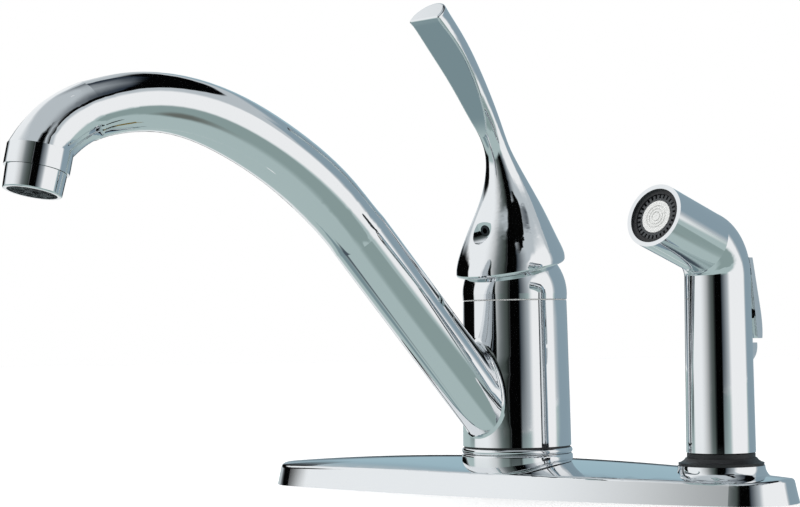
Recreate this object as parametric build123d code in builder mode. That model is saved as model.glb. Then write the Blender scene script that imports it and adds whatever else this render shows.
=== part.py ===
from build123d import *
import os
from math import atan2, cos, radians, sin, sqrt, tan

# Single-handle kitchen faucet with a side spray, on a deck plate for three holes.
# Millimetres. The deck is z = 0, the faucet's body stands on the z axis, x runs along the
# plate towards the spray, and the front of the sink is -y.

# ---- driving dimensions -------------------------------------------------------------------

HOLE_SPACING = 101.6          # from the body to each side hole (three holes at 203.2 over all)
SPOUT_TURN = 11.6             # degrees the spout stands swung to the left
HANDLE_TURN = 7.0             # degrees the handle stands turned to the left
SPRAY_TURN = 7.5              # degrees the spray stands turned to the left

PLATE_HALF_LENGTH = 134.0
PLATE_HALF_WIDTH = 32.6
PLATE_END_RADIUS = 22.0
PLATE_DRAFT = 12.0            # degrees the plate's wall leans in
PLATE_TOP = 15.6              # top of the crown, in the middle
PLATE_WALL = 2.4
CROWN_WIDE_R = 86.0           # the crown's curve across the plate
CROWN_END = 8.4               # height the crown comes down to, 150 mm from the middle

BOSS_R = 24.4
BOSS_TOP = 17.2
SPRAY_BOSS_TOP = 14.8
STUD_TOP = 8.0                # blind end of the left hole, which the stud screws into
BODY_R = 20.3                 # valve body's barrel, which the spout turns on
BODY_TOP = 88.0
SHANK_R = 15.9
SHANK_BOTTOM = -50.0
DECK_GRIP = 12.0              # room for the deck under the plate
THREAD_END = -26.0            # relief groove below the nuts, where each shank's free end begins

HUB_BOTTOM = 20.6
HUB_TOP = 84.0
HUB_R_BOTTOM = 23.8
HUB_R_TOP = 22.8
HUB_BORE = 20.36

RISE_ANGLE = 46.3             # the spout's tube climbs at this angle
RISE_END = (88.0, 111.3)      # where its straight stretch ends, forward and up
WATERWAY_R = 9.6
COLLAR_R = 12.25
MOUTH_LEAN = 12.5             # degrees the mouth looks outward from straight down
MOUTH = (241.0, 123.8)        # centre of the mouth, forward and up

PIVOT_Z = 87.0                # the handle's tilt axis
BONNET_R = 23.0
HANDLE_REST = 12.5            # degrees the handle leans forward when shut
STEM_ARM = 10.0               # from the tilt axis down to the stem's ball
CARTRIDGE_FLOOR = 62.0
CARTRIDGE_R = 17.45

SPRAY_TILT = 18.0             # degrees the spray's head points above level
SPRAY_BEND_Z = 102.6          # where the head's axis meets the grip's axis
SPRAY_REACH = 40.8            # nozzle ahead of the grip's axis
SPRAY_GRIP_R = (14.1, 13.5)   # grip's radius at its foot and at the bend
SPRAY_HEAD_R = 13.1
SPRAY_FOOT = 20.2
SPRAY_SKIN = 1.8

os.makedirs("parts", exist_ok=True)


# ---- helpers ------------------------------------------------------------------------------

def facing(turn, x=0.0):
    """Upright plane through (x, 0, 0): its x runs forward, turned left by `turn`, its y runs up."""
    forward = Vector(-sin(radians(turn)), -cos(radians(turn)), 0)
    return Plane(origin=(x, 0, 0), x_dir=forward, z_dir=forward.cross(Vector(0, 0, 1)))


def across(side, point, lean):
    """Plane square to a line that leans `lean` degrees forward of upright at a point of `side`.
    Its x runs across the object, to the left, and its y runs forward and down."""
    rise = side.x_dir * sin(radians(lean)) + side.y_dir * cos(radians(lean))
    return Plane(origin=side.from_local_coords((point[0], point[1], 0)), x_dir=side.z_dir, z_dir=rise)


def level(z, x=0.0, y=0.0):
    """Level plane at a height, centred on a hole or port."""
    return Plane(origin=(x, y, z))


def sleeve(base, outer, inner, length, mode=Mode.ADD):
    """Straight round sleeve standing on a plane, or a plain bar where `inner` is 0."""
    with BuildSketch(base) as ring:
        Circle(outer)
        if inner:
            Circle(inner, mode=Mode.SUBTRACT)
    extrude(ring.sketch, amount=length, mode=mode)


def bar(base, sides, radius, length, mode=Mode.ADD):
    """Straight bar with a regular outline, such as a hexagon, standing on a plane."""
    with BuildSketch(base) as outline:
        RegularPolygon(radius, sides)
    extrude(outline.sketch, amount=length, mode=mode)


def block(base, wide, deep, length, mode=Mode.ADD):
    """Straight bar with a rectangular outline, standing on a plane."""
    with BuildSketch(base) as outline:
        Rectangle(wide, deep)
    extrude(outline.sketch, amount=length, mode=mode)


def turned(points, x=0.0, mode=Mode.ADD):
    """Solid of revolution about an upright axis at x, from (radius, height) corners."""
    front = Plane(origin=(x, 0, 0), x_dir=(1, 0, 0), z_dir=(0, -1, 0))
    with BuildSketch(front) as profile:
        with BuildLine():
            Polyline(*points, close=True)
        make_face()
    revolve(profile.sketch, axis=Axis((x, 0, 0), (0, 0, 1)), mode=mode)


def save(piece, name):
    piece.part.label = name
    export_step(piece.part, f"parts/{name}.step")


# ---- deck plate: chromed zinc shell over the three holes -------------------------------------

def oval(half_length, half_width, end_radius):
    """Long oval face: two flat side arcs that run tangent into two tight end arcs."""
    reach = half_length - end_radius
    side_radius = (reach**2 + half_width**2 - end_radius**2) / (2 * (half_width - end_radius))
    lean = atan2(reach, side_radius - half_width)
    join = (reach + end_radius * sin(lean), end_radius * cos(lean))
    with BuildSketch() as face:
        with BuildLine():
            ThreePointArc((-join[0], -join[1]), (0, -half_width), (join[0], -join[1]))
            ThreePointArc((join[0], -join[1]), (half_length, 0), join)
            ThreePointArc(join, (0, half_width), (-join[0], join[1]))
            ThreePointArc((-join[0], join[1]), (-half_length, 0), (-join[0], -join[1]))
        make_face()
    return face.sketch


def flared_boss(x, foot_r, top_r, foot, top):
    """Round boss that flares out at its foot in a hollow curve."""
    with BuildSketch(Plane(origin=(x, 0, 0), x_dir=(1, 0, 0), z_dir=(0, -1, 0))) as profile:
        with BuildLine():
            Polyline((foot_r, foot), (0, foot), (0, top), (top_r, top))
            ThreePointArc((top_r, top), (top_r + 0.2 * (foot_r - top_r), foot + 0.4 * (top - foot)),
                          (foot_r, foot))
        make_face()
    revolve(profile.sketch, axis=Axis((x, 0, 0), (0, 0, 1)))


def plate_blank(inset):
    """Oval block with leaning walls and a barrel-shaped crown, `inset` inside the plate's skin."""
    axis_z = PLATE_TOP - CROWN_WIDE_R
    with BuildPart() as blank:
        extrude(oval(PLATE_HALF_LENGTH - inset, PLATE_HALF_WIDTH - inset, PLATE_END_RADIUS - inset),
                amount=PLATE_TOP + 1, taper=PLATE_DRAFT)
        # The barrel lies along x, and its wall is drawn at its underside
        with BuildSketch(Plane.XZ) as barrel:
            low, low_end, low_rim = [2 * axis_z - z for z in (PLATE_TOP - inset, CROWN_END - inset, -40)]
            with BuildLine():
                ThreePointArc((-150, low_end), (0, low), (150, low_end))
                Polyline((150, low_end), (150, low_rim), (-150, low_rim), (-150, low_end))
            make_face()
        revolve(barrel.sketch, axis=Axis((0, 0, axis_z), (1, 0, 0)), mode=Mode.INTERSECT)
    return blank.part


plate_skin = plate_blank(0)
plate_room = plate_blank(PLATE_WALL)

# Hollow of the plate, less the bosses round its holes and its two ribs
with BuildPart() as plate_hollow:
    add(plate_room)
    for x, boss_r in ((0, 20.0), (HOLE_SPACING, 17.0), (-HOLE_SPACING, 8.0)):
        sleeve(level(0.6, x), boss_r, 0, PLATE_TOP, Mode.SUBTRACT)
    for x in (-55, 55):
        block(level(2.5, x), 2.0, 80, PLATE_TOP, Mode.SUBTRACT)

with BuildPart() as deck_plate:
    add(plate_skin)
    fillet(deck_plate.faces().sort_by(Axis.Z)[-1].edges(), radius=1.6)
    turned([(0, 9.0), (BOSS_R, 9.0), (BOSS_R, BOSS_TOP), (0, BOSS_TOP)])
    fillet(deck_plate.edges().filter_by(GeomType.CIRCLE).sort_by(Axis.Z)[-1], radius=1.0)
    flared_boss(HOLE_SPACING, 23.5, 17.7, 9.0, SPRAY_BOSS_TOP)
    add(plate_hollow.part, mode=Mode.SUBTRACT)
    sleeve(level(-1), SHANK_R + 0.15, 0, BOSS_TOP + 2, Mode.SUBTRACT)
    sleeve(level(-1, HOLE_SPACING), 13.6, 0, SPRAY_BOSS_TOP + 2, Mode.SUBTRACT)
    sleeve(level(-1, -HOLE_SPACING), 4.0, 0, STUD_TOP + 1, Mode.SUBTRACT)
save(deck_plate, "deck_plate")

# Soft gasket that seals the plate to the deck, inside its wall and round each shank
with BuildPart() as plate_gasket:
    extrude(oval(PLATE_HALF_LENGTH - 2.7, PLATE_HALF_WIDTH - 2.7, PLATE_END_RADIUS - 2.7), amount=0.5)
    for x, hole in ((0, SHANK_R + 0.3), (HOLE_SPACING, 13.9), (-HOLE_SPACING, 4.4)):
        sleeve(level(-1, x), hole, 0, 3, Mode.SUBTRACT)
save(plate_gasket, "plate_gasket")


# ---- valve body: brass casting with its shank, ports and barrel ------------------------------

HOT_PORT = (-7.5, 4.0)
COLD_PORT = (7.5, 4.0)
MIXED_PORT = (0.0, -7.8)
PORT_R = 2.8
DIVERTER_R = 5.2
DIVERTER_FLOOR = 25.0
SHOULDER_R = 21.4
SHOULDER_TOP = 18.0
WATERWAY = (38.0, 52.0)
RING_GROOVES = (27.5, 58.0)
GROOVE_DEPTH = 2.2
GROOVE_WIDTH = 3.2

with BuildPart() as valve_body:
    turned([(0, SHANK_BOTTOM), (SHANK_R, SHANK_BOTTOM), (SHANK_R, BOSS_TOP), (SHOULDER_R, BOSS_TOP),
            (SHOULDER_R, SHOULDER_TOP), (BODY_R, SHOULDER_TOP), (BODY_R, BODY_TOP), (0, BODY_TOP)])
    sleeve(level(THREAD_END), SHANK_R + 1, SHANK_R - 0.7, 1.5, Mode.SUBTRACT)
    sleeve(level(CARTRIDGE_FLOOR), 17.6, 0, BODY_TOP, Mode.SUBTRACT)
    for z in RING_GROOVES:
        sleeve(level(z), BODY_R + 1, BODY_R - GROOVE_DEPTH, GROOVE_WIDTH, Mode.SUBTRACT)
    sleeve(level(WATERWAY[0]), BODY_R + 1, 17.2, WATERWAY[1] - WATERWAY[0], Mode.SUBTRACT)
    for x, y in (HOT_PORT, COLD_PORT):
        sleeve(level(SHANK_BOTTOM - 1, x, y), PORT_R, 0, CARTRIDGE_FLOOR - SHANK_BOTTOM + 2, Mode.SUBTRACT)
        sleeve(level(SHANK_BOTTOM - 1, x, y), 4.2, 0, 11, Mode.SUBTRACT)
    sleeve(level(SHANK_BOTTOM - 1, *MIXED_PORT), PORT_R, 0, 80, Mode.SUBTRACT)
    sleeve(level(SHANK_BOTTOM - 1, *MIXED_PORT), 4.2, 0, 11, Mode.SUBTRACT)
    sleeve(level(DIVERTER_FLOOR, *MIXED_PORT), DIVERTER_R, 0, 50, Mode.SUBTRACT)
    outlet = Plane(origin=(0, MIXED_PORT[1], 45), x_dir=(1, 0, 0), z_dir=(0, -1, 0))
    sleeve(outlet, 4.0, 0, 12, Mode.SUBTRACT)
save(valve_body, "valve_body")

# Threaded nipples screwed into the shank's foot, for the two supplies and the spray's hose
NIPPLE_LENGTH = 26.0
for name, port in (("hot_inlet", HOT_PORT), ("cold_inlet", COLD_PORT), ("spray_outlet", MIXED_PORT)):
    with BuildPart() as nipple:
        sleeve(level(SHANK_BOTTOM - NIPPLE_LENGTH + 9.5, *port), 4.15, 2.6, NIPPLE_LENGTH)
        bar(level(SHANK_BOTTOM - 5, *port), 6, 5.0, 4.6)
        sleeve(level(SHANK_BOTTOM - 6, *port), 2.6, 0, 8, Mode.SUBTRACT)
    save(nipple, name)

with BuildPart() as spout_o_rings:
    for z in RING_GROOVES:
        with Locations((0, 0, z + GROOVE_WIDTH / 2)):
            Torus(BODY_R - 1.08, 1.1)
save(spout_o_rings, "spout_o_rings")

# Chromed trim ring round the body's shoulder, with a rounded edge
with BuildPart() as base_ring:
    with BuildSketch(Plane.XZ) as trim:
        with BuildLine():
            Polyline((23.5, BOSS_TOP + 0.1), (21.5, BOSS_TOP + 0.1), (21.5, 19.7), (23.7, 19.7))
            ThreePointArc((23.7, 19.7), (24.3, 18.5), (23.5, BOSS_TOP + 0.1))
        make_face()
    revolve(trim.sketch, axis=Axis.Z)
save(base_ring, "base_ring")

with BuildPart() as glide_ring:
    sleeve(level(19.7), 23.3, BODY_R + 0.1, 0.85)
save(glide_ring, "glide_ring")

with BuildPart() as slip_ring:
    sleeve(level(HUB_TOP + 0.05), 22.5, BODY_R + 0.05, 0.5)
save(slip_ring, "slip_ring")

# Diverter: sleeve and poppet that send the water to the spout or to the spray
DIVERTER_SEAT = 37.0
with BuildPart() as diverter_sleeve:
    sleeve(level(DIVERTER_FLOOR, *MIXED_PORT), DIVERTER_R - 0.02, 3.0, DIVERTER_SEAT - DIVERTER_FLOOR)
    sleeve(level(29.5, *MIXED_PORT), DIVERTER_R + 1, DIVERTER_R - 0.9, 2.0, Mode.SUBTRACT)
save(diverter_sleeve, "diverter_sleeve")

with BuildPart() as diverter_poppet:
    sleeve(level(DIVERTER_SEAT + 0.05, *MIXED_PORT), 4.5, 0, 2.4)
    chamfer(diverter_poppet.edges().sort_by(Axis.Z)[-1], length=0.8)
    block(level(DIVERTER_SEAT - 9, *MIXED_PORT), 5.4, 1.2, 9.5)
    block(level(DIVERTER_SEAT - 9, *MIXED_PORT), 1.2, 5.4, 9.5)
save(diverter_poppet, "diverter_poppet")


# ---- fixings under the deck ------------------------------------------------------------------

NUT_TOP = -DECK_GRIP - 2.0
with BuildPart() as shank_washer:
    sleeve(level(NUT_TOP), 25.0, SHANK_R + 0.2, 2.0)
save(shank_washer, "shank_washer")

with BuildPart() as shank_nut:
    bar(level(NUT_TOP - 9), 6, 24.0, 9)
    sleeve(level(NUT_TOP - 9), SHANK_R + 0.02, 0, 9, Mode.SUBTRACT)
    chamfer(shank_nut.edges().filter_by(GeomType.CIRCLE), length=0.8)
save(shank_nut, "shank_nut")

with BuildPart() as side_stud:
    sleeve(level(-46, -HOLE_SPACING), 3.95, 0, 46 + STUD_TOP - 0.5)
    chamfer(side_stud.edges().sort_by(Axis.Z)[0], length=0.8)
    sleeve(level(THREAD_END - 2, -HOLE_SPACING), 4.5, 3.4, 1.5, Mode.SUBTRACT)
save(side_stud, "side_stud")

with BuildPart() as side_washer:
    sleeve(level(NUT_TOP, -HOLE_SPACING), 15.0, 4.3, 2.0)
save(side_washer, "side_washer")

with BuildPart() as side_wing_nut:
    sleeve(level(NUT_TOP - 10, -HOLE_SPACING), 8.0, 0, 10)
    block(level(NUT_TOP - 12, -HOLE_SPACING), 34, 3.5, 11)
    fillet(side_wing_nut.edges().filter_by(Axis.Y), radius=3.0)
    sleeve(level(NUT_TOP - 13, -HOLE_SPACING), 3.98, 0, 14, Mode.SUBTRACT)
save(side_wing_nut, "side_wing_nut")


# ---- spray holder: black bush that clamps the plate over the right hole -----------------------

HOLDER_BORE = 11.7
with BuildPart() as spray_holder:
    with BuildSketch(Plane(origin=(HOLE_SPACING, 0, 0), x_dir=(1, 0, 0), z_dir=(0, -1, 0))) as bush:
        with BuildLine():
            Polyline((HOLDER_BORE, -36), (13.4, -36), (13.4, THREAD_END), (12.9, THREAD_END),
                     (12.9, THREAD_END + 1.5), (13.4, THREAD_END + 1.5), (13.4, SPRAY_BOSS_TOP),
                     (17.3, SPRAY_BOSS_TOP), (17.4, 15.9))
            ThreePointArc((17.4, 15.9), (15.6, 16.7), (14.5, 17.9))
            Polyline((14.5, 17.9), (13.9, 17.9), (13.9, 20.1), (HOLDER_BORE, 20.1), (HOLDER_BORE, -36))
        make_face()
    revolve(bush.sketch, axis=Axis((HOLE_SPACING, 0, 0), (0, 0, 1)))
    chamfer(spray_holder.edges().filter_by(GeomType.CIRCLE).sort_by(Axis.Z)[-2], length=0.4)
save(spray_holder, "spray_holder")

with BuildPart() as holder_washer:
    sleeve(level(NUT_TOP, HOLE_SPACING), 20.0, 13.7, 2.0)
save(holder_washer, "holder_washer")

with BuildPart() as holder_nut:
    bar(level(NUT_TOP - 8, HOLE_SPACING), 6, 20.0, 8)
    sleeve(level(NUT_TOP - 8, HOLE_SPACING), 13.42, 0, 8, Mode.SUBTRACT)
save(holder_nut, "holder_nut")


# ---- spout: one tapered tube that grows out of the turning hub --------------------------------

spout_side = facing(SPOUT_TURN)


def spout_route():
    """The tube's axis: a straight rise, a long and a short crown arc, and the nose."""
    with BuildLine(spout_side) as route:
        start = (14.0, RISE_END[1] - (RISE_END[0] - 14.0) * tan(radians(RISE_ANGLE)))
        rise = Line(start, RISE_END)
        shoulder = JernArc(rise @ 1, rise % 1, radius=172, arc_size=-(RISE_ANGLE - 18.0))
        crown = JernArc(shoulder @ 1, shoulder % 1, radius=89.1, arc_size=-38.0)
        nose = JernArc(crown @ 1, crown % 1, radius=43.1, arc_size=-34.2)
    return rise, shoulder, crown, nose


rise, shoulder, crown, nose = spout_route()
# The tube's three lengths. Each station: a stretch of the route, how far along it, and the
# tube's outer radius there
SPOUT_LENGTHS = [
    [(rise, 0.0, 12.9), (rise, 1.0, 12.8)],
    [(rise, 1.0, 12.8), (shoulder, 0.25, 12.8), (shoulder, 0.5, 12.7), (shoulder, 0.75, 12.45),
     (shoulder, 1.0, 12.1), (crown, 0.33, 11.6), (crown, 0.67, 11.35), (crown, 1.0, 11.3)],
    [(crown, 1.0, 11.3), (nose, 0.33, 11.2), (nose, 0.67, 11.3)],
]

mouth_up = across(spout_side, MOUTH, -MOUTH_LEAN)     # square to the mouth's axis, facing up it
COLLAR_LOW = 8.65
COLLAR_TOP = 16.3
THREAD_R = 10.3

with BuildPart() as spout:
    for stations in SPOUT_LENGTHS:
        rings = []
        for stretch, share, radius in stations:
            square = Plane(origin=stretch @ share, x_dir=spout_side.z_dir, z_dir=stretch % share)
            with BuildSketch(square) as ring:
                Circle(radius)
            rings.append(ring.sketch)
        if stations[-1][0] is nose:
            with BuildSketch(mouth_up.offset(COLLAR_TOP)) as ring:
                Circle(12.2)
            rings.append(ring.sketch)
        loft(rings)
    sleeve(mouth_up.offset(COLLAR_LOW), COLLAR_R, 0, COLLAR_TOP - COLLAR_LOW + 0.3)
    turned([(0, HUB_BOTTOM), (HUB_R_BOTTOM, HUB_BOTTOM), (HUB_R_TOP, HUB_TOP), (0, HUB_TOP)])
    fillet(spout.edges().filter_by(GeomType.BSPLINE).sort_by(Axis.Z)[0], radius=2.5)
    with BuildSketch(Plane(origin=rise @ 0, x_dir=spout_side.z_dir, z_dir=rise % 0)) as bore:
        Circle(WATERWAY_R)
    sweep(bore.sketch, path=Wire([rise, shoulder, crown, nose]), mode=Mode.SUBTRACT)
    sleeve(mouth_up.offset(COLLAR_LOW - 1), THREAD_R, 0, COLLAR_TOP - COLLAR_LOW, Mode.SUBTRACT)
    sleeve(mouth_up.offset(COLLAR_TOP - 1.2), 8.2, 0, 2.2, Mode.SUBTRACT)
    sleeve(level(HUB_BOTTOM - 1), HUB_BORE, 0, HUB_TOP, Mode.SUBTRACT)
save(spout, "spout")

# Aerator: chromed cup screwed into the collar, with its washer, flow former and screen
with BuildPart() as aerator_housing:
    sleeve(mouth_up.offset(COLLAR_LOW - 0.1), THREAD_R - 0.03, 0, 4.6)
    with BuildSketch(mouth_up) as rim:
        Circle(10.95)
    with BuildSketch(mouth_up.offset(COLLAR_LOW - 0.1)) as brim:
        Circle(11.35)
    loft([rim.sketch, brim.sketch])
    fillet(aerator_housing.edges().filter_by(GeomType.CIRCLE).sort_by(Axis.Z)[0], radius=0.6)
    sleeve(mouth_up.offset(-1), 9.4, 0, 20, Mode.SUBTRACT)
    sleeve(mouth_up.offset(2.0), 9.7, 9.0, 20, Mode.SUBTRACT)
save(aerator_housing, "aerator_housing")

with BuildPart() as aerator_screen:
    sleeve(mouth_up.offset(2.05), 9.65, 0, 0.7)
    with BuildSketch(mouth_up.offset(2.05)) as mesh:
        with HexLocations(1.9, 5, 5):
            RegularPolygon(1.35, 6)
    extrude(mesh.sketch, amount=0.7, mode=Mode.SUBTRACT)
save(aerator_screen, "aerator_screen")

with BuildPart() as flow_former:
    sleeve(mouth_up.offset(2.85), 9.6, 7.8, 8.6)
    sleeve(mouth_up.offset(9.9), 9.6, 0, 1.5)
    with BuildSketch(mouth_up.offset(9.8)) as jets:
        with PolarLocations(5.4, 10):
            Circle(0.8)
    extrude(jets.sketch, amount=1.7, mode=Mode.SUBTRACT)
save(flow_former, "flow_former")

with BuildPart() as aerator_washer:
    sleeve(mouth_up.offset(13.2), THREAD_R - 0.15, 7.2, 1.5)
save(aerator_washer, "aerator_washer")


# ---- ceramic cartridge -----------------------------------------------------------------------

handle_side = facing(HANDLE_TURN)
across_body = Plane(origin=(0, 0, PIVOT_Z), x_dir=handle_side.x_dir, z_dir=handle_side.z_dir)
BASE_TOP = 67.0
DISC_TOP = 70.4
NECK_R = 14.4
NECK_BOTTOM = 82.0
NECK_TOP = 94.4
ROTOR_R = 12.0
ROTOR_BOTTOM = 78.3
ROTOR_TOP = 95.6
SEALS = ((HOT_PORT, 4.4, 2.9), (COLD_PORT, 4.4, 2.9), (MIXED_PORT, 6.4, 5.3))
DISC_PORTS = ((HOT_PORT, 2.4), (COLD_PORT, 2.4), (MIXED_PORT, 3.4))

with BuildPart() as cartridge_base:
    sleeve(level(CARTRIDGE_FLOOR), CARTRIDGE_R, 0, BASE_TOP - CARTRIDGE_FLOOR)
    for port, recess, _ in SEALS:
        sleeve(level(CARTRIDGE_FLOOR, *port), recess, 0, 1.25, Mode.SUBTRACT)
    for port, hole in DISC_PORTS:
        sleeve(level(CARTRIDGE_FLOOR, *port), hole, 0, 8, Mode.SUBTRACT)
save(cartridge_base, "cartridge_base")

with BuildPart() as port_seals:
    for port, recess, hole in SEALS:
        sleeve(level(CARTRIDGE_FLOOR + 0.02, *port), recess - 0.05, hole, 1.2)
save(port_seals, "port_seals")

with BuildPart() as fixed_disc:
    sleeve(level(BASE_TOP), 13.4, 0, DISC_TOP - BASE_TOP)
    for port, hole in DISC_PORTS:
        sleeve(level(BASE_TOP, *port), hole, 0, 8, Mode.SUBTRACT)
save(fixed_disc, "fixed_disc")

with BuildPart() as cartridge_housing:
    turned([(13.5, BASE_TOP), (CARTRIDGE_R, BASE_TOP), (CARTRIDGE_R, NECK_BOTTOM), (NECK_R, NECK_BOTTOM),
            (NECK_R, NECK_TOP), (10.65, NECK_TOP), (10.65, 93.0), (ROTOR_R + 0.05, 93.0),
            (ROTOR_R + 0.05, ROTOR_BOTTOM), (13.5, ROTOR_BOTTOM)])
save(cartridge_housing, "cartridge_housing")

STEM_WIDE = 8.0
STEM_DEEP = 6.4
STEM_TOP = 36.5               # stem's free end, up from the tilt axis
with BuildPart() as cartridge_rotor:
    turned([(0, ROTOR_BOTTOM), (ROTOR_R, ROTOR_BOTTOM), (ROTOR_R, 92.9), (10.6, 92.9), (10.6, ROTOR_TOP),
            (0, ROTOR_TOP)])
    slot = Plane(origin=(0, 0, ROTOR_BOTTOM - 1), x_dir=handle_side.x_dir, z_dir=(0, 0, 1))
    block(slot, 13.2, STEM_WIDE + 0.4, 20, Mode.SUBTRACT)
    sleeve(across_body.offset(-13), 1.5, 0, 26, Mode.SUBTRACT)
save(cartridge_rotor, "cartridge_rotor")

with BuildPart() as stem_pin:
    sleeve(across_body.offset(-11.2), 1.48, 0, 22.4)
save(stem_pin, "stem_pin")

stem_base = across(handle_side, (0, PIVOT_Z), HANDLE_REST)
with BuildPart() as cartridge_stem:
    block(stem_base.offset(-4.5), STEM_WIDE, STEM_DEEP, STEM_TOP + 4.5)
    chamfer(cartridge_stem.faces().sort_by(Axis.Z)[-1].edges(), length=0.8)
    sleeve(stem_base.offset(-STEM_ARM), 1.7, 0, 7)
    with Locations(stem_base.offset(-STEM_ARM)):
        Sphere(2.4)
    sleeve(across_body.offset(-6), 1.55, 0, 12, Mode.SUBTRACT)
save(cartridge_stem, "cartridge_stem")

# The moving disc and its carrier stand back from the axis when the handle is shut
DISC_BACK = STEM_ARM * sin(radians(HANDLE_REST))
disc_centre = handle_side.x_dir * -DISC_BACK
with BuildPart() as moving_disc:
    sleeve(level(DISC_TOP + 0.02, disc_centre.X, disc_centre.Y), 10.0, 0, 3.0)
    mixing = Plane(origin=(disc_centre.X, disc_centre.Y, DISC_TOP), x_dir=handle_side.x_dir, z_dir=(0, 0, 1))
    block(mixing, 9.0, 7.0, 1.8, Mode.SUBTRACT)
save(moving_disc, "moving_disc")

with BuildPart() as disc_carrier:
    sleeve(level(DISC_TOP + 3.02, disc_centre.X, disc_centre.Y), 10.0, 0, 4.5)
    pocket = Plane(origin=(disc_centre.X, disc_centre.Y, 74.4), x_dir=handle_side.x_dir, z_dir=(0, 0, 1))
    block(pocket, 5.1, 5.6, 5, Mode.SUBTRACT)
save(disc_carrier, "disc_carrier")

# Brass nut that holds the cartridge down, under the chromed bonnet
with BuildPart() as cartridge_nut:
    sleeve(level(NECK_BOTTOM + 0.05), 17.55, 0, BODY_TOP - NECK_BOTTOM - 0.05)
    bar(level(BODY_TOP + 0.05), 6, 18.9, 4.4)
    sleeve(level(BODY_TOP - 1), 16.0, 0, 2)
    sleeve(level(NECK_BOTTOM - 1), NECK_R + 0.1, 0, 14, Mode.SUBTRACT)
save(cartridge_nut, "cartridge_nut")

BONNET_SKIN = 1.8
BONNET_MOUTH = 12.6
bonnet_inner = BONNET_R - BONNET_SKIN


def dome_height(radius, at):
    """Height of a ball of this radius about the tilt axis, above a point `at` from its axis."""
    return PIVOT_Z + sqrt(radius**2 - at**2)


with BuildPart() as bonnet:
    with BuildSketch(Plane.XZ) as dome:
        with BuildLine():
            Polyline((BODY_R + 0.05, HUB_TOP + 0.6), (22.9, HUB_TOP + 0.6), (BONNET_R, PIVOT_Z))
            ThreePointArc((BONNET_R, PIVOT_Z), (18.6, dome_height(BONNET_R, 18.6)),
                          (BONNET_MOUTH, dome_height(BONNET_R, BONNET_MOUTH)))
            Line((BONNET_MOUTH, dome_height(BONNET_R, BONNET_MOUTH)),
                 (BONNET_MOUTH, dome_height(bonnet_inner, BONNET_MOUTH)))
            ThreePointArc((BONNET_MOUTH, dome_height(bonnet_inner, BONNET_MOUTH)),
                          (18.0, dome_height(bonnet_inner, 18.0)),
                          (sqrt(bonnet_inner**2 - 1.1**2), PIVOT_Z + 1.1))
            Polyline((sqrt(bonnet_inner**2 - 1.1**2), PIVOT_Z + 1.1), (BODY_R + 0.05, PIVOT_Z + 1.1),
                     (BODY_R + 0.05, HUB_TOP + 0.6))
        make_face()
    revolve(dome.sketch, axis=Axis.Z)
save(bonnet, "bonnet")


# ---- handle: hollow dome that draws into a neck and spreads into the lever ---------------------

# Each section: place (forward, up), how far it leans forward, and its radius
HANDLE_SECTIONS = [((2.5, 98.2), 12.5, 24.0), ((2.2, 106.7), 6.0, 22.4), ((2.2, 115.2), 3.0, 18.8),
                   ((2.8, 123.7), 6.0, 15.0), ((4.2, 132.2), 12.0, 11.2), ((6.4, 140.7), 18.0, 8.0),
                   ((9.3, 149.0), 24.0, 5.8), ((14.1, 158.8), 29.0, 5.5), ((20.6, 168.2), 34.5, 6.5),
                   ((27.8, 177.3), 38.5, 7.6), ((35.5, 186.1), 41.5, 8.7), ((43.7, 195.1), 43.0, 9.2),
                   ((53.3, 205.5), 43.5, 9.2)]
# Line of the lever's hollow front face, from its point at the neck out past the lever's end
FACET = ((15.0, 146.6), (30.1, 176.4), (55.7, 204.0))
CAVITY_R = BONNET_R + 0.6
SCREW_HEIGHT = 31.0           # set screw up the stem from the tilt axis
BUTTON_R = 5.0                # hole in the dome over the set screw

with BuildPart() as handle:
    rings = []
    for place, lean, radius in HANDLE_SECTIONS:
        with BuildSketch(across(handle_side, place, lean)) as ring:
            Circle(radius)
        rings.append(ring.sketch)
    loft(rings)
    with BuildSketch(handle_side) as front:
        with BuildLine():
            ThreePointArc(*FACET)
            Polyline(FACET[2], (65, 213), (75, 190), (40, 140), FACET[0])
        make_face()
    extrude(front.sketch, amount=20, both=True, mode=Mode.SUBTRACT)
    facet = handle.faces().filter_by(GeomType.CYLINDER).sort_by(SortBy.AREA)[-1]
    lever_end = handle.faces().sort_by(Axis.Z)[-1]
    fillet(facet.edges() + lever_end.edges(), radius=1.0)
    fillet(handle.faces().sort_by(Axis.Z)[0].edges(), radius=1.3)
    with Locations((0, 0, PIVOT_Z)):
        Sphere(CAVITY_R, mode=Mode.SUBTRACT)
    block(stem_base.offset(15), STEM_WIDE + 0.1, STEM_DEEP + 0.1, STEM_TOP - 14.5, Mode.SUBTRACT)
    screw_centre = handle_side.from_local_coords((SCREW_HEIGHT * sin(radians(HANDLE_REST)),
                                                  PIVOT_Z + SCREW_HEIGHT * cos(radians(HANDLE_REST)), 0))
    screw_line = Plane(origin=screw_centre, x_dir=handle_side.z_dir, z_dir=stem_base.y_dir)
    sleeve(screw_line, 2.5, 0, 14, Mode.SUBTRACT)
    sleeve(screw_line.offset(12), BUTTON_R, 0, 20, Mode.SUBTRACT)
save(handle, "handle")

with BuildPart() as set_screw:
    sleeve(screw_line.offset(STEM_DEEP / 2 + 0.05), 2.45, 0, 9)
    bar(screw_line.offset(STEM_DEEP / 2 + 6), 6, 1.4, 4, Mode.SUBTRACT)
save(set_screw, "set_screw")


# ---- spray handset ----------------------------------------------------------------------------

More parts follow.
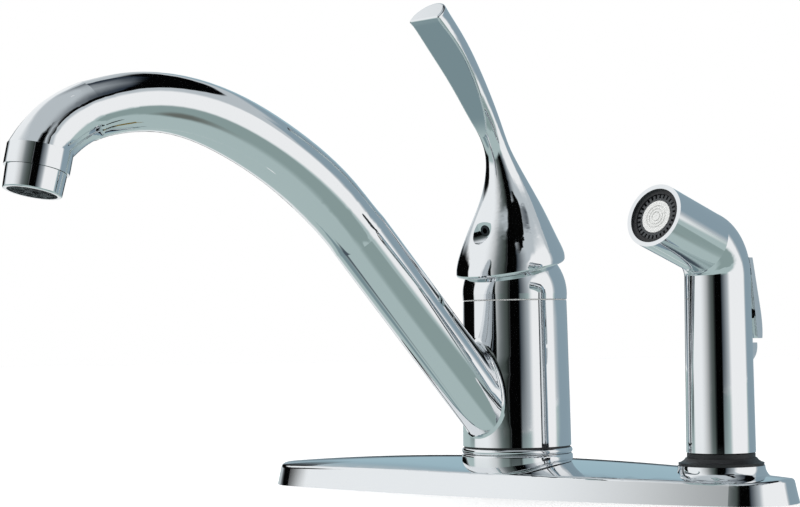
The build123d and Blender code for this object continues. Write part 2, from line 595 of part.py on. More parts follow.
spray_side = facing(SPRAY_TURN, HOLE_SPACING)
head_lean = 90.0 - SPRAY_TILT
BEND_R = 14.6
bend_run = BEND_R * tan(radians(head_lean / 2))
nozzle = (SPRAY_REACH, SPRAY_BEND_Z + SPRAY_REACH * tan(radians(SPRAY_TILT)))
nozzle_face = across(spray_side, nozzle, head_lean)   # faces out of the nozzle
bend_start = (0.0, SPRAY_BEND_Z - bend_run)
bend_end = (bend_run * cos(radians(SPRAY_TILT)), SPRAY_BEND_Z + bend_run * sin(radians(SPRAY_TILT)))


def bend_station(lean):
    """Point of the bend's axis where it leans forward by `lean` degrees."""
    return (BEND_R * (1 - cos(radians(lean))), bend_start[1] + BEND_R * sin(radians(lean)))


def spray_skin(inset, foot, mode):
    """Grip, bend and head lofted through circles, `inset` inside the outer surface."""
    stations = [((0.0, foot), 0.0, SPRAY_GRIP_R[0]), (bend_start, 0.0, SPRAY_GRIP_R[1])]
    stations += [(bend_station(lean), lean, SPRAY_GRIP_R[1]) for lean in (head_lean / 3, 2 * head_lean / 3)]
    stations += [(bend_end, head_lean, SPRAY_HEAD_R), (nozzle, head_lean, SPRAY_HEAD_R)]
    rings = []
    for place, lean, radius in stations:
        with BuildSketch(across(spray_side, place, lean)) as ring:
            Circle(radius - inset)
        rings.append(ring.sketch)
    loft(rings[:2], mode=mode)
    loft(rings[1:5], mode=mode)
    loft(rings[4:], mode=mode)


LEVER_PIN = (-8.5, 96.0)      # trigger's pin, behind the grip's axis
LEVER_SWING = 6.5             # degrees the trigger is pressed
LEVER_HALF_WIDE = 9.5
LEVER_ROUND_R = 13.9
# Trigger's outer curve: height, and how far its round back stands behind the grip's axis
LEVER_STATIONS = ((66.4, 6.9), (70.0, 7.1), (77.0, 6.3), (86.0, 4.3), (95.0, 2.3), (99.6, 1.2))
STOP_LOW = 57.0               # bump under the trigger's free end
STOP_TOP = 64.6
PLUNGER_Z = 76.0
PLUNGER_TIP = 16.2            # plunger's end, behind the grip's axis
PLUNGER_R = 2.0
VALVE_SEAT = 8.0

pin_line = Plane(origin=spray_side.from_local_coords((LEVER_PIN[0], LEVER_PIN[1], 0)),
                 x_dir=spray_side.x_dir, z_dir=spray_side.z_dir)


def behind(distance):
    """Upright plane on the plunger's line, facing back, so far behind the grip's axis."""
    return Plane(origin=spray_side.from_local_coords((-distance, PLUNGER_Z, 0)),
                 x_dir=spray_side.z_dir, z_dir=spray_side.x_dir * -1)


def grip_box(low, high, near, far, half_wide, mode):
    """Box in the spray's frame, from height `low` to `high` and `near` to `far` behind its axis."""
    with BuildSketch(spray_side) as outline:
        with Locations((-(near + far) / 2, (low + high) / 2)):
            Rectangle(far - near, high - low)
    extrude(outline.sketch, amount=half_wide, both=True, mode=mode)


with BuildPart() as spray_shell:
    spray_skin(0, SPRAY_FOOT, Mode.ADD)
    with BuildSketch(spray_side) as bump:
        with BuildLine():
            Polyline((-12, STOP_TOP), (-12, STOP_LOW), (-14, STOP_LOW))
            ThreePointArc((-14, STOP_LOW), (-17.4, 60.0), (-18.2, STOP_TOP))
            Line((-18.2, STOP_TOP), (-12, STOP_TOP))
        make_face()
    extrude(bump.sketch, amount=6.0, both=True)
    spray_skin(SPRAY_SKIN, SPRAY_FOOT, Mode.SUBTRACT)
    grip_box(91.3, 100.8, 5.0, 20.0, 3.8, Mode.SUBTRACT)
    sleeve(behind(5), 3.2, 0, 12, Mode.SUBTRACT)
    sleeve(pin_line.offset(-9.6), 1.5, 0, 24, Mode.SUBTRACT)
save(spray_shell, "spray_shell")

with BuildPart() as lever_pin:
    sleeve(pin_line.offset(-9.5), 1.48, 0, 19.6)
save(lever_pin, "lever_pin")

# Black core inside the shell: shank, waterway and the trigger's valve
CORE_TOP = 88.0
SHANK_FOOT = -8.0
TUBE_R = 4.6
seat_way = Plane(origin=spray_side.from_local_coords((-9.2, PLUNGER_Z, 0)), x_dir=spray_side.z_dir,
                 z_dir=spray_side.x_dir * 0.74 + spray_side.y_dir * 0.67)
with BuildPart() as spray_core:
    turned([(0, SHANK_FOOT), (10.2, SHANK_FOOT), (11.3, 2.0), (11.3, SPRAY_FOOT - 0.05),
            (12.24, SPRAY_FOOT + 0.1), (11.67, CORE_TOP), (0, CORE_TOP)], HOLE_SPACING)
    sleeve(level(SHANK_FOOT - 1, HOLE_SPACING), 6.2, 0, 13, Mode.SUBTRACT)
    sleeve(level(SHANK_FOOT, HOLE_SPACING), 3.0, 0, PLUNGER_Z - SHANK_FOOT, Mode.SUBTRACT)
    sleeve(level(CORE_TOP - 5, HOLE_SPACING), TUBE_R + 0.02, 0, 6, Mode.SUBTRACT)
    sleeve(behind(-5), 4.0, 0, 5 + VALVE_SEAT, Mode.SUBTRACT)
    sleeve(behind(0), 3.0, 0, 10.4, Mode.SUBTRACT)
    sleeve(behind(0), PLUNGER_R + 0.06, 0, 14, Mode.SUBTRACT)
    sleeve(seat_way, 1.2, 0, 12.4, Mode.SUBTRACT)
save(spray_core, "spray_core")

with BuildPart() as valve_plunger:
    sleeve(behind(4.4), 3.4, 0, 1.8)
    sleeve(behind(4.4), PLUNGER_R, 0, PLUNGER_TIP - 4.4)
    fillet(valve_plunger.faces().sort_by(Axis.Y)[-1].edges(), radius=1.2)
save(valve_plunger, "valve_plunger")

with BuildPart() as plunger_seal:
    sleeve(behind(6.2), 3.6, PLUNGER_R, VALVE_SEAT - 6.2 - 0.02)
save(plunger_seal, "plunger_seal")

# Valve's spring, drawn at the length it has with the trigger pressed
SPRING_R = 2.6
with BuildPart() as valve_spring:
    with BuildLine() as coil:
        Helix(pitch=1.45, height=5.8, radius=SPRING_R, center=behind(-4.4).origin,
              direction=behind(0).z_dir)
    with BuildSketch(Plane(origin=coil.line @ 0, x_dir=spray_side.x_dir, z_dir=coil.line % 0)) as wire:
        RegularPolygon(0.45, 6)
    sweep(wire.sketch, path=coil.line)
save(valve_spring, "valve_spring")

with BuildPart() as grip_room:
    spray_skin(-0.35, 40, Mode.ADD)
still_room = grip_room.part
pressed_room = still_room.rotate(Axis(pin_line.origin, pin_line.z_dir), -LEVER_SWING)

with BuildPart() as spray_lever:
    rings = []
    for height, back in LEVER_STATIONS:
        centre = spray_side.from_local_coords((-back, height, 0))
        with BuildSketch(Plane(origin=centre, x_dir=spray_side.x_dir, z_dir=(0, 0, 1))) as ring:
            Circle(LEVER_ROUND_R)
        rings.append(ring.sketch)
    loft(rings)
    grip_box(60, 110, 8.5, 30, LEVER_HALF_WIDE, Mode.INTERSECT)
    add(still_room, mode=Mode.SUBTRACT)
    add(pressed_room, mode=Mode.SUBTRACT)
    grip_box(92.4, 99.2, LEVER_PIN[0] * -1, 15.2, 3.4, Mode.ADD)
    sleeve(pin_line.offset(-3.4), 3.2, 0, 6.8)
    sleeve(pin_line.offset(-12), 1.55, 0, 24, Mode.SUBTRACT)
save(spray_lever, "spray_lever")

# Tube that carries the water round the bend to the nozzle
with BuildPart() as head_tube:
    with BuildLine(spray_side) as bend:
        foot = Line((0, CORE_TOP - 4.9), bend_start)
        turn = JernArc(foot @ 1, foot % 1, radius=BEND_R, arc_size=-head_lean)
        Line(turn @ 1, nozzle_face.offset(-9.9).origin)
    with BuildSketch(level(CORE_TOP - 4.9, HOLE_SPACING)) as bore:
        Circle(TUBE_R)
        Circle(TUBE_R - 1.4, mode=Mode.SUBTRACT)
    sweep(bore.sketch, path=bend.line)
save(head_tube, "head_tube")


# ---- spray nozzle -----------------------------------------------------------------------------

RING_R = SPRAY_HEAD_R - SPRAY_SKIN - 0.04
TEETH = 28
with BuildPart() as nozzle_ring:
    sleeve(nozzle_face.offset(-13.0), RING_R, 0, 11.8)
    sleeve(nozzle_face.offset(-9.0), 9.5, 0, 10, Mode.SUBTRACT)
    sleeve(nozzle_face.offset(-14.0), TUBE_R + 0.02, 0, 6, Mode.SUBTRACT)
save(nozzle_ring, "nozzle_ring")

with BuildPart() as nozzle_rubber:
    sleeve(nozzle_face.offset(-8.9), 9.4, 6.8, 7.2)
    with BuildSketch(nozzle_face.offset(-3.2)) as notches:
        with PolarLocations(9.1, TEETH):
            Rectangle(2.6, 0.9)
    extrude(notches.sketch, amount=3, mode=Mode.SUBTRACT)
save(nozzle_rubber, "nozzle_rubber")

with BuildPart() as face_disc:
    sleeve(nozzle_face.offset(-8.9), 6.7, 0, 7.5)
    for ring_r in (1.9, 3.2, 4.5):
        sleeve(nozzle_face.offset(-1.7), ring_r + 0.25, ring_r - 0.25, 0.7, Mode.SUBTRACT)
save(face_disc, "face_disc")


# ---- hose end under the spray ------------------------------------------------------------------

FERRULE_R = 4.0
with BuildPart() as hose_coupling:
    sleeve(level(SHANK_FOOT - 1, HOLE_SPACING), 6.18, 0, 9.5)
    bar(level(SHANK_FOOT - 9, HOLE_SPACING), 6, 9.2, 8.9)
    sleeve(level(SHANK_FOOT - 10, HOLE_SPACING), FERRULE_R + 0.05, 0, 20, Mode.SUBTRACT)
    sleeve(level(SHANK_FOOT + 6.5, HOLE_SPACING), 5.3, 0, 5, Mode.SUBTRACT)
save(hose_coupling, "hose_coupling")

with BuildPart() as hose_ferrule:
    sleeve(level(SHANK_FOOT - 22, HOLE_SPACING), FERRULE_R, 0, 28.6)
    sleeve(level(SHANK_FOOT + 6.6, HOLE_SPACING), 5.2, 0, 1.6)
    sleeve(level(SHANK_FOOT - 11, HOLE_SPACING), FERRULE_R + 1, FERRULE_R - 0.8, 1.2, Mode.SUBTRACT)
    sleeve(level(SHANK_FOOT - 23, HOLE_SPACING), 2.4, 0, 34, Mode.SUBTRACT)
save(hose_ferrule, "hose_ferrule")

with BuildPart() as ferrule_clip:
    sleeve(level(SHANK_FOOT - 10.9, HOLE_SPACING), 6.4, FERRULE_R - 0.75, 1.0)
    block(level(SHANK_FOOT - 12, HOLE_SPACING, 6), 4.5, 10, 3, Mode.SUBTRACT)
save(ferrule_clip, "ferrule_clip")

with BuildPart() as coupling_washer:
    sleeve(level(SHANK_FOOT + 8.55, HOLE_SPACING), 6.1, 3.0, 2.4)
save(coupling_washer, "coupling_washer")
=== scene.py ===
import math

import bmesh
import bpy
from mathutils import Matrix, Vector

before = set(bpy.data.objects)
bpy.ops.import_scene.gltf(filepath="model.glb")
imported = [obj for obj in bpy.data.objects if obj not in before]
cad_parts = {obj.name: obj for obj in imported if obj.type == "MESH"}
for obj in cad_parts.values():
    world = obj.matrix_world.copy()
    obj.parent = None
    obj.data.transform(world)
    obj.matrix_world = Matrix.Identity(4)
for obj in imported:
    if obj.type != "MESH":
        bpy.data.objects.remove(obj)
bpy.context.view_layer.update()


# ---- Deck plate, base ring, spout, bonnet, handle and spray: polished chrome ---------------------
# Castings of zinc and brass, and the spray's moulded shell, plated with nickel and then chrome.
# The plating is mirror bright. Buffing leaves a faint waviness, which bends long reflections a
# little, and a slight haze, which softens small ones.

def linear(code):
    """sRGB hex colour as linear RGBA."""
    parts = [int(code[i:i + 2], 16) / 255 for i in (1, 3, 5)]
    return [c / 12.92 if c <= 0.04045 else ((c + 0.055) / 1.055) ** 2.4 for c in parts] + [1.0]


def add_node(tree, kind, inputs=None, **settings):
    """Adds a node, sets its settings, and fills its inputs with values or with sockets to link."""
    made = tree.nodes.new(kind)
    for name, value in settings.items():
        setattr(made, name, value)
    for name, value in (inputs or {}).items():
        if isinstance(value, bpy.types.NodeSocket):
            tree.links.new(value, made.inputs[name])
        else:
            made.inputs[name].default_value = value
    return made


def new_finish(name):
    """New material with an empty node tree."""
    material = bpy.data.materials.new(name)
    material.use_nodes = True
    material.node_tree.nodes.clear()
    return material, material.node_tree


def dress(material, *nodes):
    """Puts a finish on CAD nodes."""
    for name in nodes:
        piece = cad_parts[name]
        if not piece.material_slots:
            piece.data.materials.append(material)
        for slot in piece.material_slots:
            slot.material = material


NOISE_LOW, NOISE_HIGH = 0.3, 0.7        # a noise texture's values lie mostly between these

CHROME = "#e9ebed"
CHROME_ROUGHNESS = (0.02, 0.05)
HAZE_SPACING = 0.0025                   # 2.5 mm, coarser than the real haze so that it shows
WAVE_SPACING = 0.014                    # buffing waves, 14 mm apart
WAVE_STRENGTH = 0.012
WAVE_HEIGHT = 0.0004

chrome, tree = new_finish("polished_chrome_plate")
place = add_node(tree, "ShaderNodeTexCoord")
haze = add_node(tree, "ShaderNodeTexNoise", {
    "Vector": place.outputs["Object"], "Scale": 1 / HAZE_SPACING, "Detail": 4.0})
gloss = add_node(tree, "ShaderNodeMapRange", {
    "Value": haze.outputs["Fac"], "From Min": NOISE_LOW, "From Max": NOISE_HIGH,
    "To Min": CHROME_ROUGHNESS[0], "To Max": CHROME_ROUGHNESS[1]})
waves = add_node(tree, "ShaderNodeTexNoise", {
    "Vector": place.outputs["Object"], "Scale": 1 / WAVE_SPACING, "Detail": 1.0})
relief = add_node(tree, "ShaderNodeBump", {
    "Height": waves.outputs["Fac"], "Strength": WAVE_STRENGTH, "Distance": WAVE_HEIGHT})
shader = add_node(tree, "ShaderNodeBsdfPrincipled", {
    "Base Color": linear(CHROME), "Metallic": 1.0, "Roughness": gloss.outputs["Result"],
    "Normal": relief.outputs["Normal"]})
add_node(tree, "ShaderNodeOutputMaterial", {"Surface": shader.outputs["BSDF"]})
dress(chrome, "deck_plate", "base_ring", "spout", "aerator_housing", "bonnet", "handle",
      "spray_shell", "spray_lever")


# ---- Valve body, nuts and nipples: turned brass --------------------------------------------------
# Forged and turned brass, left bare under the deck and inside the hub. It is a warm yellow metal
# with fine turning rings, dulled to brown in patches.

BRASS = "#c9a25b"
BRASS_DULL = "#8f7440"
BRASS_ROUGHNESS = 0.28
RING_SPACING = 0.000377                 # 0.38 mm, coarser than real turning so that it shows
WAVE_BANDS = 20 / math.tau              # bands of a wave texture to a unit, at a scale of 1
RING_STRENGTH = 0.15
PATCH_SPACING = 0.018
PATCH_LOW, PATCH_HIGH = 0.45, 0.75      # noise values at which a patch starts and is full
GRAIN_HEIGHT = 0.0001                   # 0.1 mm, the height of every fine relief

brass, tree = new_finish("turned_brass")
place = add_node(tree, "ShaderNodeTexCoord")
rings = add_node(tree, "ShaderNodeTexWave", {
    "Vector": place.outputs["Object"], "Scale": 1 / (RING_SPACING * WAVE_BANDS),
    "Distortion": 0.6, "Detail": 2.0}, bands_direction="Z")
tarnish = add_node(tree, "ShaderNodeTexNoise", {
    "Vector": place.outputs["Object"], "Scale": 1 / PATCH_SPACING, "Detail": 6.0})
patches = add_node(tree, "ShaderNodeMapRange", {
    "Value": tarnish.outputs["Fac"], "From Min": PATCH_LOW, "From Max": PATCH_HIGH})
# A colour mix takes its two colours at inputs 6 and 7 and gives the result at output 2
tone = add_node(tree, "ShaderNodeMix", {
    "Factor": patches.outputs["Result"], 6: linear(BRASS), 7: linear(BRASS_DULL)},
    data_type="RGBA")
relief = add_node(tree, "ShaderNodeBump", {
    "Height": rings.outputs["Fac"], "Strength": RING_STRENGTH, "Distance": GRAIN_HEIGHT})
shader = add_node(tree, "ShaderNodeBsdfPrincipled", {
    "Base Color": tone.outputs[2], "Metallic": 1.0, "Roughness": BRASS_ROUGHNESS,
    "Normal": relief.outputs["Normal"]})
add_node(tree, "ShaderNodeOutputMaterial", {"Surface": shader.outputs["BSDF"]})
dress(brass, "valve_body", "hot_inlet", "cold_inlet", "spray_outlet", "shank_nut",
      "cartridge_nut", "hose_ferrule")


# ---- Washers, stud, pins and spring: plain stainless steel ---------------------------------------
# Stamped, drawn or turned stainless steel, left unpolished. Its fine grain gives a soft grey sheen
# with small bright specks.

def grained_finish(name, colour, spacing, roughness, detail, bulk, relief=0.0):
    """Finish of one colour, whose roughness drifts between two values over a grain of a spacing
    and a noise detail. `relief` is how strongly the grain stands up, and `bulk` holds the
    shader's other inputs."""
    material, tree = new_finish(name)
    place = add_node(tree, "ShaderNodeTexCoord")
    grain = add_node(tree, "ShaderNodeTexNoise", {
        "Vector": place.outputs["Object"], "Scale": 1 / spacing, "Detail": detail})
    gloss = add_node(tree, "ShaderNodeMapRange", {
        "Value": grain.outputs["Fac"], "From Min": NOISE_LOW, "From Max": NOISE_HIGH,
        "To Min": roughness[0], "To Max": roughness[1]})
    surface = {"Base Color": linear(colour), "Roughness": gloss.outputs["Result"], **bulk}
    if relief:
        bumps = add_node(tree, "ShaderNodeBump", {
            "Height": grain.outputs["Fac"], "Strength": relief, "Distance": GRAIN_HEIGHT})
        surface["Normal"] = bumps.outputs["Normal"]
    shader = add_node(tree, "ShaderNodeBsdfPrincipled", surface)
    add_node(tree, "ShaderNodeOutputMaterial", {"Surface": shader.outputs["BSDF"]})
    return material


STEEL = "#b9bbbd"
STEEL_GRAIN = 0.0015                    # 1.5 mm, coarser than the real grain so that it shows
STEEL_ROUGHNESS = (0.22, 0.38)
STEEL_RELIEF = 0.1

steel = grained_finish("plain_stainless_steel", STEEL, STEEL_GRAIN, STEEL_ROUGHNESS,
                       detail=5.0, bulk={"Metallic": 1.0}, relief=STEEL_RELIEF)
dress(steel, "shank_washer", "side_stud", "side_washer", "side_wing_nut", "stem_pin",
      "lever_pin", "valve_spring", "ferrule_clip", "cartridge_stem")


# ---- Handle's set screw: steel with painted shade ------------------------------------------------
# A socket screw of alloy steel, its colour painted near black as painted shade: the hole of the
# handle's dome it sits in reads dark, with small bright edges.

# Near black in place of the steel's grey: painted shade for the hole the screw sits in.
SCREW_PAINTED_SHADE = "#3b3d40"
SCREW_GRAIN = 0.0008                # 0.8 mm, coarser than the real grain so that it shows
SCREW_ROUGHNESS = (0.2, 0.35)

screw_painted_shade = grained_finish("steel_with_painted_hole_shade", SCREW_PAINTED_SHADE, SCREW_GRAIN,
                           SCREW_ROUGHNESS, detail=4.0, bulk={"Metallic": 1.0})
dress(screw_painted_shade, "set_screw")


# ---- Spray holder, the spray's inner pieces and the glide ring: black moulded plastic ------------
# Glass-filled nylon and acetal, moulded in tools with a fine sparked texture, which gives a dark
# grey sheen in place of a gloss.

BLACK_PLASTIC = "#1d1d20"
SPARK_GRAIN = 0.0009                    # 0.9 mm, coarser than the real grain so that it shows
SPARK_ROUGHNESS = (0.38, 0.55)
SPARK_RELIEF = 0.25

black_plastic = grained_finish("black_moulded_nylon", BLACK_PLASTIC, SPARK_GRAIN, SPARK_ROUGHNESS,
                               detail=3.0, bulk={"IOR": 1.5}, relief=SPARK_RELIEF)
dress(black_plastic, "spray_holder", "holder_nut", "holder_washer", "nozzle_ring", "spray_core",
      "head_tube", "valve_plunger", "hose_coupling", "glide_ring")


# ---- Spray nozzle's rubber and the aerator's inner pieces: dark grey -----------------------------
# Soft moulded rubber with notches that throw the jets, and the aerator's former and screen. They
# are matte, with a faint cloudy bloom.

GREY_RUBBER = "#3f4245"
BLOOM_SPACING = 0.002
BLOOM_ROUGHNESS = (0.45, 0.65)

grey_rubber = grained_finish("dark_grey_rubber", GREY_RUBBER, BLOOM_SPACING, BLOOM_ROUGHNESS,
                             detail=4.0, bulk={"IOR": 1.52})
dress(grey_rubber, "nozzle_rubber", "flow_former", "aerator_screen")


# ---- Seals and gasket: black nitrile rubber ------------------------------------------------------
# Moulded rings and washers, and the soft gasket under the plate, matte with a trace of talc.

NITRILE = "#242424"
TALC_SPACING = 0.004
TALC_ROUGHNESS = (0.6, 0.85)

nitrile = grained_finish("black_nitrile_rubber", NITRILE, TALC_SPACING, TALC_ROUGHNESS,
                         detail=5.0, bulk={"IOR": 1.52})
dress(nitrile, "plate_gasket", "spout_o_rings", "port_seals", "aerator_washer", "plunger_seal",
      "coupling_washer")


# ---- Spray's face disc, slip ring, cartridge casing and diverter: white moulded plastic ----------
# Acetal and polypropylene, satin and slightly cloudy, so that highlights on them are broad and
# soft. The spray's face disc has fine rings moulded in it.

WHITE_PLASTIC = "#e4e5e3"
CLOUD_SPACING = 0.003
CLOUD_ROUGHNESS = (0.3, 0.42)

white_plastic = grained_finish("white_moulded_acetal", WHITE_PLASTIC, CLOUD_SPACING,
                               CLOUD_ROUGHNESS, detail=3.0, bulk={"IOR": 1.48})
dress(white_plastic, "face_disc", "slip_ring", "cartridge_base", "cartridge_housing",
      "cartridge_rotor", "disc_carrier", "diverter_sleeve", "diverter_poppet")


# ---- Cartridge discs: lapped ceramic -------------------------------------------------------------
# Pressed and fired alumina, lapped flat: cream white, nearly glossy, with a fine speckle.

ALUMINA = "#efe9da"
SPECKLE_SPACING = 0.0008                # 0.8 mm, coarser than the real grain so that it shows
SPECKLE_ROUGHNESS = (0.15, 0.3)

alumina = grained_finish("lapped_alumina", ALUMINA, SPECKLE_SPACING, SPECKLE_ROUGHNESS,
                         detail=3.0, bulk={"IOR": 1.7})
dress(alumina, "fixed_disc", "moving_disc")


# ---- Studio: what the chrome reflects ------------------------------------------------------------
# A pale grey tent with dark, grey and white cards round the faucet, as in a product studio. They
# show only in gloss and light nothing. Those about a metre off shift from piece to piece, as near
# things do, those over 14 m off don't, and the nearer of two hides the one behind it.

EYE_BEARING = 35.0                      # the camera stands this far to the right of the front
TENT_MIDDLE = Vector((0.0, 0.0, 0.1))
CARD_STEPS = 6                          # mesh steps between two stations, and up a card
SHARP = 0.001                           # fade of an edge that isn't soft, as a share of the card


def heading(bearing, rise):
    """Unit vector at a bearing to the right of the camera's and a rise, the angle above level."""
    turn, lift = math.radians(bearing + EYE_BEARING), math.radians(rise)
    return Vector((math.sin(turn) * math.cos(lift), -math.cos(turn) * math.cos(lift),
                   math.sin(lift)))


def between(stations, share):
    """Bearing, lower rise and upper rise at a share of the way along a list of such stations.
    The bearing runs evenly. With more than two stations the rises ease in and out of each."""
    place = share * (len(stations) - 1)
    first = min(int(place), len(stations) - 2)
    step = place - first
    eased = step * step * (3 - 2 * step) if len(stations) > 2 else step
    return [start + (end - start) * part
            for start, end, part in zip(stations[first], stations[first + 1], (step, eased, eased))]


def hidden_but_in_gloss(thing):
    """Leaves a stage piece out of everything but glossy reflections."""
    thing.visible_camera = False
    thing.visible_diffuse = False
    thing.visible_transmission = False
    thing.visible_volume_scatter = False
    thing.visible_shadow = False


def card(name, colour, away, soft, stations):
    """Curved glowing card, `away` metres off, through (bearing, lower rise, upper rise) stations.
    `soft` is the share of it that fades out at its left, right, lower and upper edge."""
    columns, rows = CARD_STEPS * (len(stations) - 1), CARD_STEPS
    sheet = bmesh.new()
    flat = sheet.loops.layers.uv.new("card")
    grid = []
    for i in range(columns + 1):
        bearing, low, high = between(stations, i / columns)
        rises = [low + (high - low) * j / rows for j in range(rows + 1)]
        grid.append([sheet.verts.new(TENT_MIDDLE + heading(bearing, rise) * away)
                     for rise in rises])
    for i in range(columns):
        for j in range(rows):
            corners = ((i, j), (i, j + 1), (i + 1, j + 1), (i + 1, j))
            face = sheet.faces.new([grid[a][b] for a, b in corners])
            for loop, (a, b) in zip(face.loops, corners):
                loop[flat].uv = (a / columns, b / rows)
    mesh = bpy.data.meshes.new(name)
    sheet.to_mesh(mesh)
    sheet.free()
    made = bpy.data.objects.new(name, mesh)
    bpy.context.scene.collection.objects.link(made)

    # It covers in full only where it is well inside all four edges. Each edge's share runs from 0
    # at that edge, so for the right and the upper one it is counted back from 1.
    paint, tree = new_finish(name)
    where = add_node(tree, "ShaderNodeTexCoord")
    across = add_node(tree, "ShaderNodeSeparateXYZ", {"Vector": where.outputs["UV"]})
    cover = None
    for side, fade in enumerate(soft):
        inward = across.outputs["X" if side < 2 else "Y"]
        if side % 2:
            inward = add_node(tree, "ShaderNodeMath", {0: 1.0, 1: inward},
                              operation="SUBTRACT").outputs[0]
        edge = add_node(tree, "ShaderNodeMapRange", {"Value": inward, "From Max": max(fade, SHARP)},
                        interpolation_type="SMOOTHSTEP").outputs[0]
        cover = edge if cover is None else add_node(
            tree, "ShaderNodeMath", {0: cover, 1: edge}, operation="MULTIPLY").outputs[0]
    glow = add_node(tree, "ShaderNodeEmission", {"Color": linear(colour)})
    clear = add_node(tree, "ShaderNodeBsdfTransparent")
    mixed = add_node(tree, "ShaderNodeMixShader", {
        0: cover, 1: clear.outputs[0], 2: glow.outputs[0]})
    add_node(tree, "ShaderNodeOutputMaterial", {"Surface": mixed.outputs[0]})
    mesh.materials.append(paint)
    hidden_but_in_gloss(made)


# The tent itself, in two halves that meet just below level
ALL_ROUND = (-180, -90, 0, 90, 180)
NOT_SOFT = (0, 0, 0, 0)
card("tent_top", "#c3cace", away=24.0, soft=NOT_SOFT,
     stations=[(bearing, -1, 89) for bearing in ALL_ROUND])
card("tent_low", "#b2c4c3", away=24.0, soft=NOT_SOFT,
     stations=[(bearing, -89, -1) for bearing in ALL_ROUND])

# Left and behind: the tent's brightly lit side, and a black card close by
card("lit_side", "#fafcfd", away=20.0, soft=(0.1, 0.1, 0.12, 0.25), stations=[
    (-168, 2, 34), (-150, 16, 50), (-125, 16, 56), (-95, -10, 60), (-62, -10, 60), (-28, -10, 50)])
card("far_black", "#060606", away=0.6, soft=(0.1, 0.06, 0.2, 0.2), stations=[
    (-166, 2, 8), (-150, -6, 15), (-125, -10, 22), (-112, -12, 22), (-99, -12, 18)])

# Front: black where the camera stands, with a dark grey sweep that fades out to either side
card("sweep_left", "#454d4a", away=1.15, soft=(0.95, 0.0, 0.15, 0.12), stations=[
    (-68, -14, 50), (-12, -14, 50)])
card("sweep_right", "#39424a", away=1.1, soft=(0.0, 0.95, 0.2, 0.15), stations=[
    (6, -12, 46), (38, -12, 40)])
card("camera_black", "#030303", away=1.0, soft=(0.3, 0.15, 0.12, 0.05), stations=[
    (-19, -14, 47), (-4, -14, 50), (13, -14, 50)])

# Right: a white window, and beyond it a blue-grey wall, at its back end paler over a dark edge
card("window", "#ffffff", away=1.3, soft=(0.15, 0.1, 0.15, 0.15), stations=[
    (27, -10, 20), (48, -14, 36), (66, -17, 42), (82, -14, 41), (96, -8, 37)])
card("blue_wall", "#90a4af", away=1.5, soft=(0.1, 0.08, 0.2, 0.06), stations=[
    (94, -10, 28), (114, -26, 42), (146, -28, 47), (180, -22, 42), (196, -8, 36)])
card("pale_wall", "#a3bfca", away=1.4, soft=(0.3, 0.2, 0.2, 0.2), stations=[
    (160, 2, 36), (178, 2, 36), (196, 2, 36)])
card("edge_dark", "#23292c", away=1.3, soft=(0.35, 0.35, 0.35, 0.35), stations=[
    (166, -9, 7), (194, -9, 7)])

# Above: the roof's black frame, from the front round to an arch at the back, and slate over it
card("slate_above", "#2f3843", away=19.0, soft=(0.35, 0.25, 0.05, 0.8), stations=[
    (8, 50, 72), (35, 45, 76), (66, 42, 86), (100, 48, 89), (140, 56, 89), (180, 54, 86),
    (205, 52, 78), (228, 54, 72)])
card("roof_front", "#050505", away=14.5, soft=(0.1, 0.3, 0.1, 0.25), stations=[
    (-14, 45, 53), (10, 43, 54), (28, 42, 53), (40, 45, 50)])
card("roof_corner", "#050505", away=0.62, soft=(0.3, 0.2, 0.12, 0.25), stations=[
    (6, 36, 45), (20, 36, 48), (34, 42, 54), (50, 50, 60), (64, 56, 66)])
card("roof_arch", "#040405", away=14.5, soft=(0.05, 0.1, 0.06, 0.25), stations=[
    (76, 44, 50), (85, 43, 57), (94, 43, 62), (106, 44, 67), (124, 45, 69), (142, 46, 68),
    (160, 44, 64), (178, 42, 60), (192, 38, 54)])

# Below: grey with a darker patch in it at the right, and white, grey and slate at the left
card("sink_grey", "#91a4a2", away=15.5, soft=(0.2, 0.15, 0.45, 0.06), stations=[
    (0, -63, -56), (28, -63, -42), (54, -62, -20), (76, -62, -11), (90, -60, -16), (100, -54, -34)])
card("sink_dark", "#6c716c", away=15.2, soft=(0.5, 0.3, 0.4, 0.4), stations=[
    (58, -56, -44), (80, -58, -30), (98, -52, -36)])
card("low_white", "#eef1f2", away=19.0, soft=(0.2, 0.3, 0.3, 0.2), stations=[
    (-179, -30, -6), (-162, -26, -2), (-144, -34, -14)])
card("low_grey", "#80959a", away=19.2, soft=(0.1, 0.2, 0.15, 0.25), stations=[
    (-134, -52, -34), (-115, -54, -31), (-95, -50, -27), (-66, -48, -30)])
card("low_slate", "#4d5861", away=19.0, soft=(0.15, 0.4, 0.2, 0.3), stations=[
    (-118, -60, -49), (-70, -60, -48), (-16, -60, -52)])


# ---- Studio: table and background ----------------------------------------------------------------
# A round white table with plain white beyond it, and on it the faucet's faint shadow. The chrome
# shows the tent's lower half in place of the table.

TABLE_RADIUS = 4.0
TABLE_SIDES = 96
TABLE_GREY = "#e8e8e8"
TABLE_ROUGHNESS = 0.7
TABLE_LIFT = 0.35                       # extra white of the table, where it is seen
WHITE = "#ffffff"
SKY_SEEN = 1.0
SKY_ON_OBJECT = 0.8


def seen_share(tree):
    """1 for what is seen by the camera, in gloss or through glass, and 0 for light on a surface."""
    path = add_node(tree, "ShaderNodeLightPath")
    either = add_node(tree, "ShaderNodeMath", {
        0: path.outputs["Is Camera Ray"], 1: path.outputs["Is Glossy Ray"]}, operation="MAXIMUM")
    return add_node(tree, "ShaderNodeMath", {
        0: either.outputs[0], 1: path.outputs["Is Transmission Ray"]},
        operation="MAXIMUM").outputs[0]


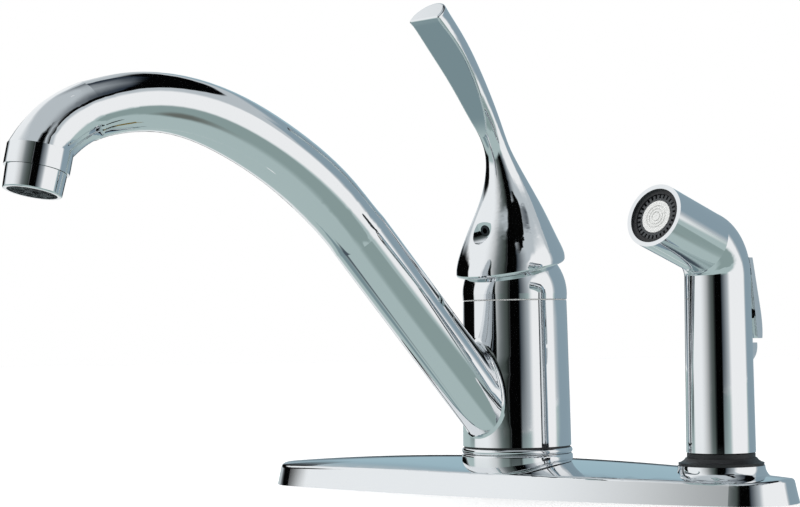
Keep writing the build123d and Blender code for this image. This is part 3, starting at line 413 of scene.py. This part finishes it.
table = bmesh.new()
bmesh.ops.create_circle(table, cap_ends=True, radius=TABLE_RADIUS, segments=TABLE_SIDES)
table_mesh = bpy.data.meshes.new("table")
table.to_mesh(table_mesh)
table.free()
floor = bpy.data.objects.new("table", table_mesh)
bpy.context.scene.collection.objects.link(floor)
white, tree = new_finish("white_table")
lift = add_node(tree, "ShaderNodeMapRange", {"Value": seen_share(tree), "To Max": TABLE_LIFT})
shader = add_node(tree, "ShaderNodeBsdfPrincipled", {
    "Base Color": linear(TABLE_GREY), "Roughness": TABLE_ROUGHNESS,
    "Emission Color": linear(WHITE), "Emission Strength": lift.outputs["Result"]})
add_node(tree, "ShaderNodeOutputMaterial", {"Surface": shader.outputs["BSDF"]})
table_mesh.materials.append(white)
floor.visible_glossy = False

world = bpy.data.worlds.new("white_studio")
bpy.context.scene.world = world
world.use_nodes = True
tree = world.node_tree
tree.nodes.clear()
level = add_node(tree, "ShaderNodeMapRange", {
    "Value": seen_share(tree), "To Min": SKY_ON_OBJECT, "To Max": SKY_SEEN})
sky = add_node(tree, "ShaderNodeBackground", {
    "Color": linear(WHITE), "Strength": level.outputs["Result"]})
add_node(tree, "ShaderNodeOutputWorld", {"Surface": sky.outputs["Background"]})


# ---- Studio: key lamp ----------------------------------------------------------------------------
# One softbox high on the left. It shapes the rubber and plastic pieces and casts the shadow. It
# doesn't show in the chrome, where the cards do that work.

KEY_BEARING = -75
KEY_RISE = 55
KEY_AWAY = 1.2
KEY_WIDE = 0.9
KEY_HIGH = 0.6
KEY_WATTS = 4.0

lamp_data = bpy.data.lights.new("key_softbox", "AREA")
lamp_data.shape = "RECTANGLE"
lamp_data.size = KEY_WIDE
lamp_data.size_y = KEY_HIGH
lamp_data.energy = KEY_WATTS
lamp = bpy.data.objects.new("key_softbox", lamp_data)
bpy.context.scene.collection.objects.link(lamp)
key_way = heading(KEY_BEARING, KEY_RISE)
lamp.location = key_way * KEY_AWAY
lamp.rotation_mode = "QUATERNION"
lamp.rotation_quaternion = (-key_way).to_track_quat("-Z", "Y")
lamp.visible_glossy = False


# ---- Camera --------------------------------------------------------------------------------------
# The photograph's camera: 0.88 m from the body's axis, 71 mm above the deck, and looking slightly
# up. Its turns were fitted to the photograph.

EYE_AWAY = 0.88081
EYE_HEIGHT = 0.07096
AIM_LEFT = 3.28                         # degrees to the left of the body's axis
AIM_UP = 2.27
ROLL = -0.85
PHOTO_WIDE = 800
FOCAL_PIXELS = 1989.1
SENSOR_WIDE = 36.0                      # millimetres

camera_data = bpy.data.cameras.new("photo_camera")
camera_data.sensor_width = SENSOR_WIDE
camera_data.lens = FOCAL_PIXELS / PHOTO_WIDE * SENSOR_WIDE
camera = bpy.data.objects.new("photo_camera", camera_data)
bpy.context.scene.collection.objects.link(camera)
eye = heading(0, 0) * EYE_AWAY
eye.z = EYE_HEIGHT
camera.matrix_world = (Matrix.Translation(eye)
                       @ Matrix.Rotation(math.radians(EYE_BEARING + AIM_LEFT), 4, "Z")
                       @ Matrix.Rotation(math.radians(90 + AIM_UP), 4, "X")
                       @ Matrix.Rotation(math.radians(ROLL), 4, "Z"))
bpy.context.scene.camera = camera
bpy.context.scene.view_settings.view_transform = "Standard"
